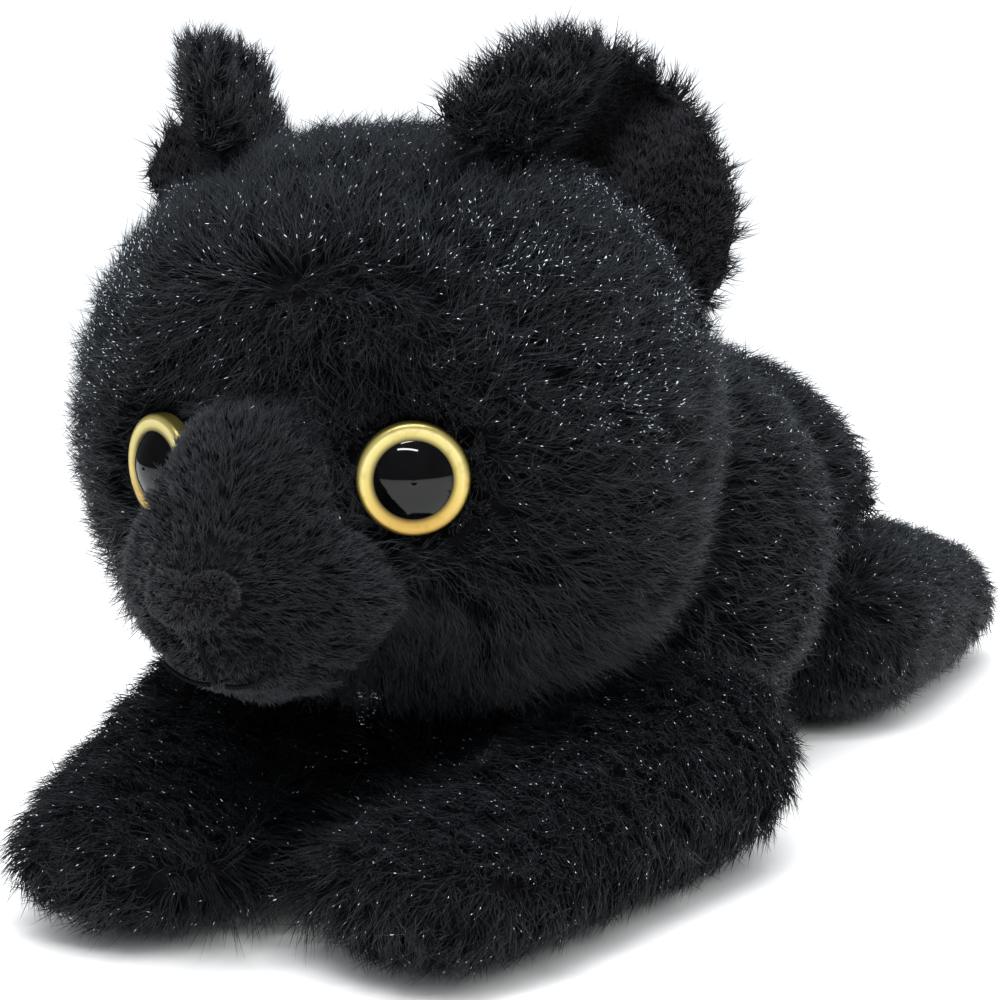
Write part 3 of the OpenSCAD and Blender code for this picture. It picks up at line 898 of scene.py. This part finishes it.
def muzzle_trim(points, up):
    """No pile under the nose patch; short pile with painted shade along the muzzle's seams and
    stitches.
    """
    share = plain_share(points)
    share[LENGTH, nearest(points + up * MM, ["nose_patch"])[:, 0] < 0.4 * MM, 0] = 0
    apart = np.sort(distances(points + up * MUZZLE_INSET, MUZZLE), axis=1)[:, 1:2]
    share[LENGTH] *= 0.5 + 0.5 * ease(apart, 0.2 * MM, 2.2 * MM)
    share[LENGTH] *= 1 - 0.5 * by_stitches(points)
    # Painted shade around the stitches and along the seams between the muzzle's panels.
    share[PAINTED_SHADE] *= 0.2 + 0.8 * ease(nearest(points, STITCHED), 1 * MM, 3.5 * MM)
    share[PAINTED_SHADE] *= 0.3 + 0.7 * ease(apart, 0.6 * MM, 3 * MM)
    return share


def make_muzzle():
    """Muzzle and nose patch. The head needs the muzzle's backing."""
    shape = backing("muzzle_backing", "head", MUZZLE, ["muzzle_stuffing"], MUZZLE_INSET,
                    core=["nose_patch"], voxel=2.2 * MM, pressure=3, rounds=2,
                    crease=2.4 * MM, nearer=by_stitches, reshape=shape_muzzle)
    grow(shape, "head", MUZZLE, short_pile, muzzle_comb, MUZZLE_INSET, muzzle_trim)
    nose = backing("nose_backing", "head", ["nose_patch"], [], NOSE_INSET, voxel=1.1 * MM,
                   pressure=0, crease=0, rounds=2)
    grow(nose, "head", ["nose_patch"], nose_pile, muzzle_comb, NOSE_INSET)
    return shape


def make_head(muzzle):
    """Head, with pile wherever the muzzle's backing does not cover it."""
    shape = backing("head_backing", "head", FACE + MUZZLE, ["head_stuffing"], PILE_INSET,
                    core=["muzzle_stuffing", "nose_patch"], reshape=lift_chin)
    cover = tree_of(muzzle.data)

    def trim(points, up):
        return head_trim(points, up, cover)

    grow(shape, "head", FACE, head_pile, head_comb, PILE_INSET, trim)


def in_chest(points):
    """1 low on the chest, between the forelegs, where the pile is long and stands out."""
    ahead = ease(-points[:, 1:2], 62 * MM, 74 * MM)
    return ahead * (1 - ease(points[:, 2:], 36 * MM, 48 * MM))


def by_head(points):
    """1 on the neck and shoulders close to the head, where the pile stands up to it."""
    return 1 - ease(nearest(points, FACE), 10 * MM, 24 * MM)


def standing(points):
    """1 where the pile of the body stands out."""
    return np.maximum(in_chest(points), by_head(points))


def body_trim(points, up):
    """Longer on the chest, shorter by the head, and more upright on both."""
    share = plain_share(points)
    share[LENGTH] += 0.75 * in_chest(points) - 0.3 * by_head(points)
    share[LEAN] -= 0.75 * standing(points)
    return share


def fill_nape(points):
    """Carries the top of the shoulders forwards to the back of the head."""
    top = ease(points[:, 2:], 88 * MM, 112 * MM) * (1 - ease(points[:, 1:2], -5 * MM, 25 * MM))
    return points - top * 4 * MM * np.array([0, 1, 0.3])


def make_body():
    """Body, with its top carried forwards under the head."""
    shape = backing("body_backing", "body", TRUNK, ["body_stuffing"], PILE_INSET,
                    nearer=standing, reshape=fill_nape)
    grow(shape, "body", TRUNK, body_pile, body_comb, PILE_INSET, body_trim)


def leg_trim(points, up):
    """Painted shade low down, and longer and more upright where the forepaws face each other."""
    share = plain_share(points)
    # Painted shade towards the floor.
    share[PAINTED_SHADE] = 0.45 + 0.5 * ease(points[:, 2:], 8 * MM, 34 * MM)
    inner = ease(-up[:, :1] * np.sign(points[:, :1]), 0.3, 0.9)
    inner = inner * ease(-points[:, 1:2], 60 * MM, 80 * MM)
    share[LENGTH] += 0.8 * inner
    share[LEAN] -= 0.6 * inner
    return share


def make_leg(leg, forward):
    """One leg. Its pile is combed towards the paw, which lies forward on a foreleg."""
    covers = [leg + "_outer", leg + "_inner"]
    shape = backing(leg + "_backing", leg, covers, [leg + "_stuffing"], LEG_INSET, voxel=3.5 * MM)
    low, high = (np.array(corner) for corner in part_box(leg + "_stuffing"))
    end = (low + high) / 2
    end[1] = low[1] - 25 * MM if forward else high[1] + 25 * MM
    end[2] = low[2]
    grow(shape, leg, covers, leg_pile, limb_comb(end), LEG_INSET, leg_trim)


def ear_outward(side):
    """The direction of an ear's base, towards the side of the head."""
    return unit(np.array(joints[side + "_ear_fold"]["axis"]) * (1 if side == "left" else -1))


def along_ear(side, points):
    """Distance along the ear's base, from its middle towards its outer end."""
    return (points - np.array(joints[side + "_ear_fold"]["pos_m"])) @ ear_outward(side)


def shape_ear(shape, side, opening):
    """Sinks an ear's foot into the head, hollows its cup, and folds its inner end forwards.

    opening is the direction the cup opens in.
    """
    points = positions(shape.data)
    height = nearest(points, FACE)
    along = along_ear(side, points)[:, None]
    outer = ease(along, 8 * MM, 22 * MM)
    foot = 1 - ease(height - 5 * MM * outer, 4 * MM, 12 * MM)
    rim = ease(height, 9 * MM, 26 * MM)
    inward = unit(head_centre - points)
    bowl = np.clip(1 - ((along + 1 * MM) / (12 * MM)) ** 2, 0, 1)
    bowl = bowl * (1 - ease(height, 17 * MM, 25 * MM))
    folded = ease(-along, FLAP_FROM - 2 * MM, FLAP_FROM + 2 * MM)
    moved = inward * ((9 + 4 * outer) * MM * foot + 2 * MM * rim)
    moved += opening * (8 * MM * folded - 12 * MM * bowl)
    end = ease(along, 10 * MM, 22 * MM)
    moved += end * (opening * 5 * MM - UP * EAR_END_DOWN[side])
    moved += ear_outward(side) * (EAR_LEAN[side] * ease(height, 4 * MM, 14 * MM)
                                  + EAR_END_OUT[side] * end)
    set_positions(shape.data, points + moved)


def ear_hollow_and_shade(side, points):
    """0 in the hollow of the ear, 1 on its rounded edges; it sets the lining's length and painted
    shade.
    """
    along = along_ear(side, points)[:, None]
    hollow = np.clip(1 - ((along + 2 * MM) / (9 * MM)) ** 2, 0, 1)
    low = 1 - ease(nearest(points, FACE), 17 * MM, 25 * MM)
    return 1 - ease(hollow * low, 0, 0.6)


def make_ear(side):
    """Ear, with lining in the cup and long pile on its back and its folded inner end."""
    back, lining = side + "_ear_back", side + "_ear_lining"
    body = side + "_ear"
    opening = unit(middle(lining) - middle(back))
    shape = backing(body + "_backing", body, [back, lining], [], EAR_INSET, voxel=1.8 * MM,
                    pressure=0, crease=EAR_INSET, rounds=2)
    shape_ear(shape, side, opening)
    base = middle(back)
    base[2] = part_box(back)[0][2] - 4 * MM

    def share_of(wanted):
        def trim(points, up):
            uneven = 2.5 * MM * waves(points, *FLAP_EDGE)[:, 0]
            flap = along_ear(side, points) < -FLAP_FROM + uneven
            lined = (up @ opening > 0.2) & ~flap
            share = plain_share(points)
            share[LENGTH, lined != (wanted == lining), 0] = 0
            if wanted == lining:
                depth_and_shade = ear_hollow_and_shade(side, points)
                # Painted shade in the hollow of the lining and painted light on its rims.
                share[PAINTED_SHADE] = 1.3 * depth_and_shade
                share[LENGTH] *= 0.5 + 0.5 * depth_and_shade
            return share
        return trim

    grow(shape, body, [back], ear_pile, ear_comb(base), EAR_INSET, share_of(back))
    grow(shape, body, [lining], lining_pile, ear_comb(base), EAR_INSET, share_of(lining))


def make_tail():
    """Tail, combed towards its tip."""
    shape = backing("tail_backing", "tail", ["tail_cover"], ["tail_stuffing"], TAIL_INSET,
                    voxel=1.6 * MM, pressure=2, rounds=1)
    end = middle("tail_cover")
    end[1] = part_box("tail_cover")[1][1] + 40 * MM
    grow(shape, "tail", ["tail_cover"], tail_pile, limb_comb(end), TAIL_INSET)


def make_neck():
    """Neck, without pile. The pile of the head and the body hides it."""
    shape = outer_shape("neck_backing", ["neck_stuffing"], 2.5 * MM, 2)
    refine(shape)
    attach(shape, "neck")
    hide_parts("neck_stuffing")


# ---- carried-over CAD nodes ----------------------------------------------------------------

def paint(node, material):
    """Gives a CAD node its material."""
    mesh = frame["nodes"][node].data
    mesh.materials.clear()
    mesh.materials.append(material)


def paint_cad_nodes():
    """Materials of the hard parts, the threads and the pellet bag, which keep CAD meshes."""
    dome, washer, thread = dome_material(), moulded_material(), thread_material()
    for side in SIDES:
        paint(side + "_eye_rim", gold_material(side, *EYES[side]))
        paint(side + "_eye_dome", dome)
        paint(side + "_eye_washer", washer)
    paint("mouth_stitch", thread)
    paint("closing_seam", thread)
    paint("pellet_bag", cloth_material("bag_cloth", (0.5, 0.5, 0.47), (0.75, 0.75, 0.7), 1400))


# ---- studio --------------------------------------------------------------------------------

def add_floor():
    """A round sheet of pale paper."""
    mesh = bpy.data.meshes.new("paper")
    shape = bmesh.new()
    bmesh.ops.create_circle(shape, cap_ends=True, radius=1.4, segments=96)
    shape.to_mesh(mesh)
    shape.free()
    mesh.materials.append(paper_material())
    link("paper", mesh)


def add_area(name, place, target, size, power, color=WHITE, mirrored=True):
    """A rectangular lamp aimed at the target. Nothing reflects it unless mirrored."""
    light = bpy.data.lights.new(name, "AREA")
    light.shape = "RECTANGLE"
    light.size, light.size_y = size
    light.energy = power
    light.color = color
    lamp = bpy.data.objects.new(name, light)
    lamp.location = place
    toward = Vector(target) - Vector(place)
    lamp.rotation_euler = toward.to_track_quat("-Z", "Y").to_euler()
    lamp.visible_glossy = mirrored
    scene.collection.objects.link(lamp)


def add_lights():
    """A pale backdrop, light mostly from overhead, two ceiling strips and a soft box."""
    world = bpy.data.worlds.new("studio")
    scene.world = world
    world.use_nodes = True
    nodes, links = world.node_tree.nodes, world.node_tree.links
    ground = nodes["Background"]
    ground.inputs["Color"].default_value = (0.94, 0.97, 1.0, 1)
    place = nodes.new("ShaderNodeTexCoord")
    parts = nodes.new("ShaderNodeSeparateXYZ")
    overhead = nodes.new("ShaderNodeMapRange")
    overhead.inputs["To Min"].default_value = 0.1
    overhead.inputs["To Max"].default_value = 1.8
    path = nodes.new("ShaderNodeLightPath")
    links.new(place.outputs["Generated"], parts.inputs[0])
    links.new(parts.outputs["Z"], overhead.inputs["Value"])
    strength = overhead.outputs["Result"]
    for ray, level in (("Is Glossy Ray", 0.1), ("Is Camera Ray", 1.12)):
        choose = nodes.new("ShaderNodeMapRange")
        choose.inputs["To Max"].default_value = level
        links.new(path.outputs[ray], choose.inputs["Value"])
        links.new(strength, choose.inputs["To Min"])
        strength = choose.outputs["Result"]
    links.new(strength, ground.inputs["Strength"])
    target = (0, -0.04, 0.08)
    for number, y in enumerate((-0.75, -0.35)):
        add_area(f"strip_{number}", (0.25, y, 1.1), target, (0.8, 0.07), 7)
    add_area("front_soft", (0.9, -0.6, 0.95), target, (0.5, 0.5), 5, color=(1.0, 0.98, 0.96),
             mirrored=False)


def add_camera():
    """The photograph's view, fitted to the toy's outlines: from the cat's left and above."""
    azimuth, elevation, roll = (math.radians(angle) for angle in (30.2, 10.1, 1.3))
    distance = 0.4416
    target = Vector((-0.0002, -0.0491, 0.071))
    back = Vector((math.sin(azimuth) * math.cos(elevation),
                   -math.cos(azimuth) * math.cos(elevation), math.sin(elevation)))
    level = Vector((math.cos(azimuth), math.sin(azimuth), 0))
    upward = back.cross(level)
    right = level * math.cos(roll) - upward * math.sin(roll)
    over = back.cross(right)
    camera = bpy.data.objects.new("camera", bpy.data.cameras.new("camera"))
    camera.data.lens = 72.62
    camera.data.sensor_width = 36
    turn = Matrix((right, over, back)).transposed().to_4x4()
    camera.matrix_world = Matrix.Translation(target + back * distance) @ turn
    scene.collection.objects.link(camera)
    scene.camera = camera


add_camera()
add_floor()
add_lights()
scene.view_settings.view_transform = "Standard"
make_head(make_muzzle())
make_body()
for side in SIDES:
    make_leg(side + "_foreleg", True)
    make_leg(side + "_hindleg", False)
    make_ear(side)
make_tail()
make_neck()
paint_cad_nodes()
